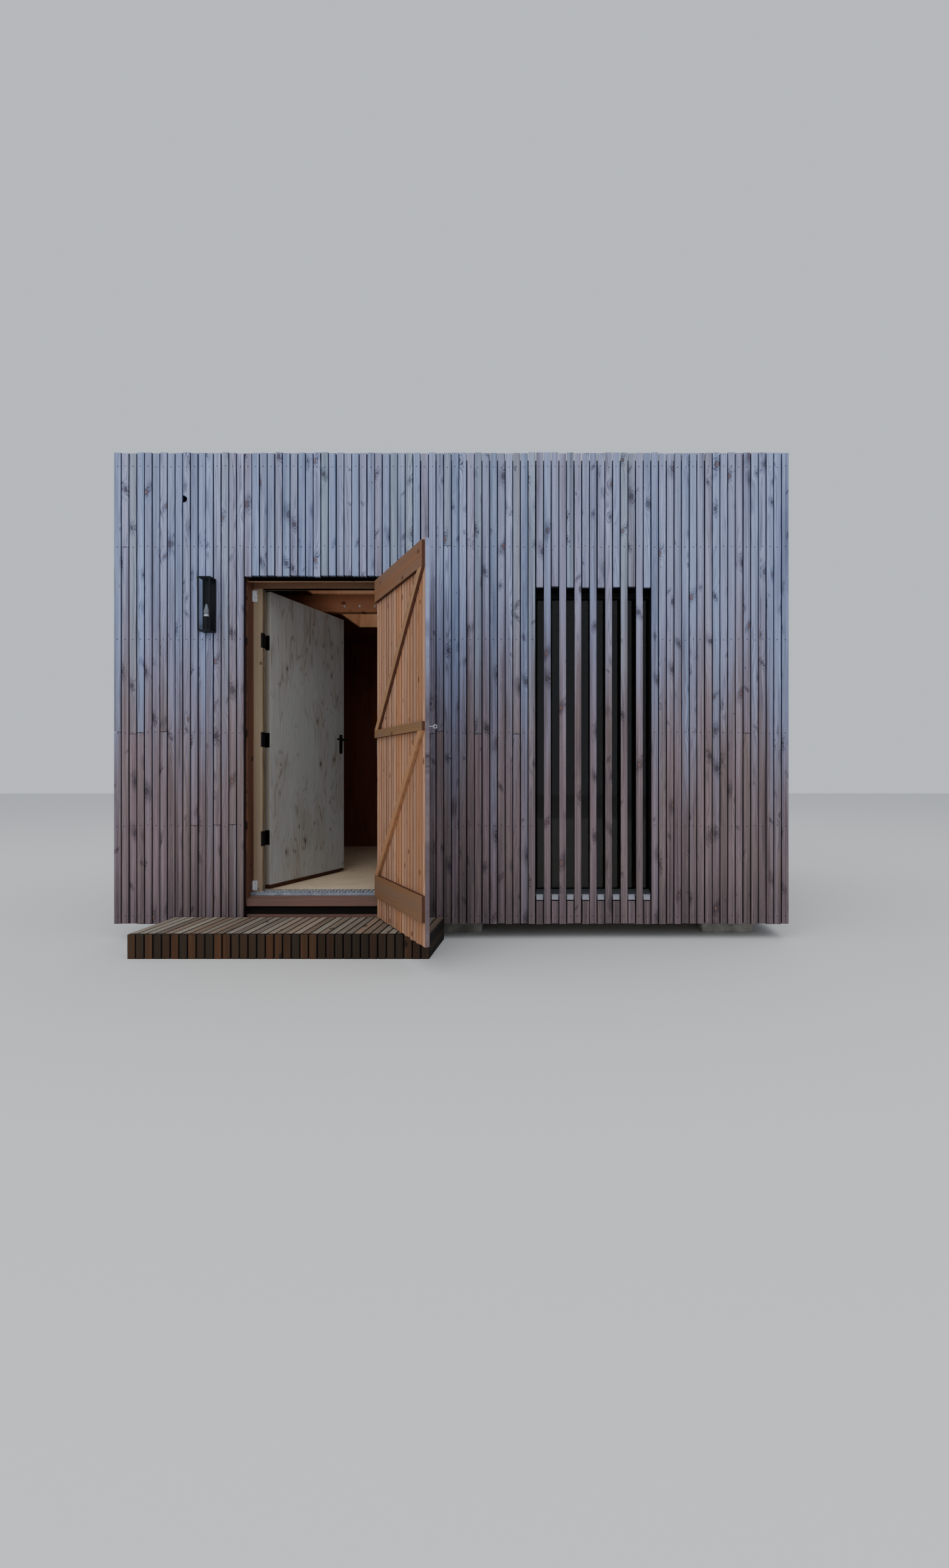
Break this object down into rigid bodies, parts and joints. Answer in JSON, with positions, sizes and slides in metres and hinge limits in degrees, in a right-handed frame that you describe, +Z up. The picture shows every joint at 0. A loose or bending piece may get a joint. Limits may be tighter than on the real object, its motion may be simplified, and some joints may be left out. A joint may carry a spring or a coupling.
{
  "type": "garden office pod",
  "caption": "Flat-roofed timber garden office clad in upright battens, with a hidden batten door, an inner door, a slatted window, a roof light and a low entrance step.",
  "frame": {"origin": "ground level under the middle of the pod, on the underside of the centre foundation pad", "axes": "+Z up, +X along the battened front to the right as seen from outside, front faces -Y"},
  "size_m": [4.395, 3.8414, 3.168],
  "materials": {
    "concrete": "rough cast",
    "treated_timber": "sawn and pressure treated",
    "floor_finish": "pale satin boards",
    "wall_membrane": "black breather membrane over sheathing",
    "lining_plywood": "oiled plywood",
    "roof_membrane": "matt sheet membrane",
    "well_timber": "planed softwood",
    "beam_timber": "planed and stained",
    "cap_metal": "grey coated sheet",
    "larch_cladding": "weathered, unfinished",
    "fresh_larch": "sawn, sheltered from weather",
    "dark_frame": "satin dark paint",
    "clear_glass": "clear sheet",
    "bulb_glass": "clear blown glass",
    "door_lining_timber": "planed and treated",
    "door_frame_timber": "planed softwood",
    "sill_larch": "planed, weathered edge",
    "chequer_plate": "raised tread pattern",
    "zinc": "zinc plated",
    "black_steel": "satin black",
    "step_timber": "ribbed, weathered",
    "door_plywood": "pale plywood face"
  },
  "bodies": {
    "pod": {"foundation_pads": "concrete", "floor_rim": "treated_timber", "floor_joists": "treated_timber", "floor": "floor_finish", "front_wall_left": "wall_membrane", "front_wall_over_door": "wall_membrane", "front_wall_right": "wall_membrane", "side_walls": "wall_membrane", "back_wall": "wall_membrane", "wall_lining": "lining_plywood", "ceiling": "lining_plywood", "roof_slab": "roof_membrane", "roof_light_wells": "well_timber", "roof_glass": "clear_glass", "roof_beam": "beam_timber", "parapet_cap": "cap_metal", "counter_battens": "treated_timber", "cladding_left": "larch_cladding", "cladding_over_door": "larch_cladding", "cladding_middle": "larch_cladding", "cladding_right": "larch_cladding", "window_slats": "larch_cladding", "window_cut_battens": "larch_cladding", "side_cladding": "larch_cladding", "back_cladding": "larch_cladding", "window_frame": "dark_frame", "window_glass": "clear_glass", "window_sill": "cap_metal", "door_lining": "door_lining_timber", "door_frame": "door_frame_timber", "door_stop": "door_frame_timber", "door_sill": "sill_larch", "threshold_plate": "chequer_plate", "foot_rail": "sill_larch", "jamb_brackets": "zinc", "outer_jamb_hinges": "zinc", "inner_jamb_hinges": "black_steel", "step_deck": "step_timber", "step_skirt": "step_timber", "step_bearers": "treated_timber", "lantern_case": "black_steel", "lantern_glass": "clear_glass", "lantern_holder": "black_steel", "lantern_bulb": "bulb_glass"},
    "outer_door": {"outer_door_boards": "larch_cladding", "outer_door_ledges": "fresh_larch", "outer_door_braces": "fresh_larch", "outer_door_eye": "zinc", "outer_leaf_hinges": "zinc"},
    "inner_door": {"inner_door_leaf": "door_plywood", "inner_leaf_hinges": "black_steel", "lock_plates": "black_steel"},
    "lever": {"lever_handles": "black_steel"}
  },
  "joints": [
    {"name": "outer_door_hinge", "type": "hinge", "parent": "pod", "child": "outer_door", "pos_m": [-0.4505, -1.5335, 1.25], "axis": [0, 0, 1], "range_deg": [-122.3, 47.7]},
    {"name": "inner_door_hinge", "type": "hinge", "parent": "pod", "child": "inner_door", "pos_m": [-1.325, -1.2995, 1.3], "axis": [0, 0, 1], "range_deg": [-75, 60]},
    {"name": "lever_turn", "type": "hinge", "parent": "inner_door", "child": "lever", "pos_m": [-1.08999, -0.53063, 1.35], "axis": [0.9659, -0.2588, 0], "range_deg": [0, 40], "stiffness_Nm_per_rad": 1.5, "springref_deg": -17.19}
  ]
}
